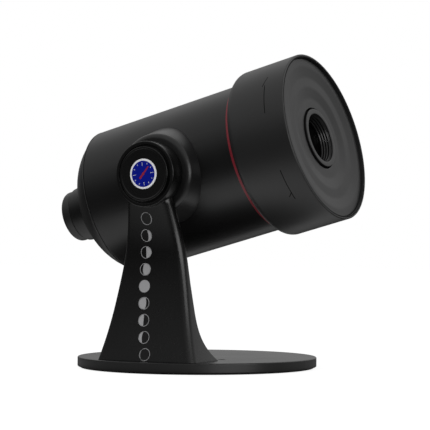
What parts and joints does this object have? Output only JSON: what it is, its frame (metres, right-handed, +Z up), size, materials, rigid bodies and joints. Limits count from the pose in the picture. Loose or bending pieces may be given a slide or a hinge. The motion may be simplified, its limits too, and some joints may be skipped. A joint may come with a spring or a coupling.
{
  "type": "planetarium projector",
  "caption": "Star projector: a tilting barrel with a twist-focus lens drum, a turning star disc and a rear control knob, on a one-armed round-based stand.",
  "frame": {"origin": "centre of the base's underside, on the table", "axes": "+Z up, +X towards the front of the barrel, -Y towards the stand's arm"},
  "size_m": [0.1967, 0.15, 0.1936],
  "materials": {
    "black_shell": "fine textured satin black",
    "black_gloss": "semi-gloss black",
    "base_black": "smooth semi-gloss black",
    "pad_rubber": "matt",
    "steel": "bright",
    "brass": "turned",
    "nylon": "natural",
    "badge_print": "printed disc under clear gloss",
    "red_trim": "dark red gloss",
    "inner_black": "matt black",
    "aluminium": "as machined",
    "circuit_green": "solder mask",
    "led_yellow": "phosphor",
    "clear_glass": "polished",
    "star_film": "printed film"
  },
  "bodies": {
    "stand": {"base_plate": "base_black", "base_weight": "steel", "base_pad": "pad_rubber", "arm_screws": "steel", "stand_arm": "black_shell", "arm_bush": "nylon", "thrust_washer": "nylon", "friction_washer": "brass", "hub_cap": "black_gloss", "hub_badge": "badge_print"},
    "projector": {"barrel_shell": "black_shell", "pivot_boss": "black_shell", "boss_screws": "steel", "pivot_shaft": "steel", "spring_washer": "steel", "pivot_nut": "steel", "rear_cover": "black_shell", "knob_collar": "black_shell", "accent_ring": "red_trim", "drum_retainer": "inner_black", "retainer_screws": "steel", "chassis_posts": "brass", "control_board": "circuit_green", "board_screws": "steel", "rotary_switch": "inner_black", "power_jack": "inner_black", "jack_pin": "steel", "heat_sink": "aluminium", "led_board": "aluminium", "led_emitter": "led_yellow", "condenser_holder": "inner_black", "condenser_lens": "clear_glass", "disc_frame": "inner_black", "gear_motor": "steel", "front_frame": "inner_black", "guide_rods": "steel"},
    "focus_ring": {"focus_drum": "black_shell", "face_plate": "black_gloss", "helicoid_nut": "inner_black"},
    "lens_group": {"lens_tube": "black_gloss", "front_lens": "clear_glass", "lens_retainer": "inner_black", "rear_lens": "clear_glass", "rear_lens_ring": "inner_black"},
    "disc_carrier": {"disc_gear": "nylon", "star_disc": "star_film", "disc_clip": "inner_black"},
    "motor_pinion": {"motor_shaft": "steel", "drive_pinion": "nylon"},
    "knob": {"knob_shaft": "steel", "control_knob": "black_gloss", "knob_inlay": "black_shell"}
  },
  "joints": [
    {"name": "tilt", "type": "hinge", "parent": "stand", "child": "projector", "pos_m": [0, 0, 0.1192], "axis": [0, -1, 0], "range_deg": [-45, 74.7]},
    {"name": "focus_turn", "type": "hinge", "parent": "projector", "child": "focus_ring", "pos_m": [0, 0, 0.1192], "axis": [0.9646, 0, 0.2639], "range_deg": [-90, 90]},
    {"name": "lens_slide", "type": "slide", "parent": "projector", "child": "lens_group", "axis": [0.9646, 0, 0.2639], "range_m": [-0.0015, 0.0015]},
    {"name": "disc_spin", "type": "hinge", "parent": "projector", "child": "disc_carrier", "pos_m": [0, 0, 0.1192], "axis": [0.9646, 0, 0.2639], "continuous": true},
    {"name": "pinion_spin", "type": "hinge", "parent": "projector", "child": "motor_pinion", "pos_m": [-0.00898, 0, 0.15204], "axis": [0.9646, 0, 0.2639], "continuous": true},
    {"name": "knob_turn", "type": "hinge", "parent": "projector", "child": "knob", "pos_m": [0, 0, 0.1192], "axis": [0.9646, 0, 0.2639], "range_deg": [0, 270]}
  ],
  "couplings": [
    {"joint": "lens_slide", "follows": "focus_turn", "m_per_rad": 0.000954},
    {"joint": "disc_spin", "follows": "pinion_spin", "ratio": -0.21429}
  ]
}
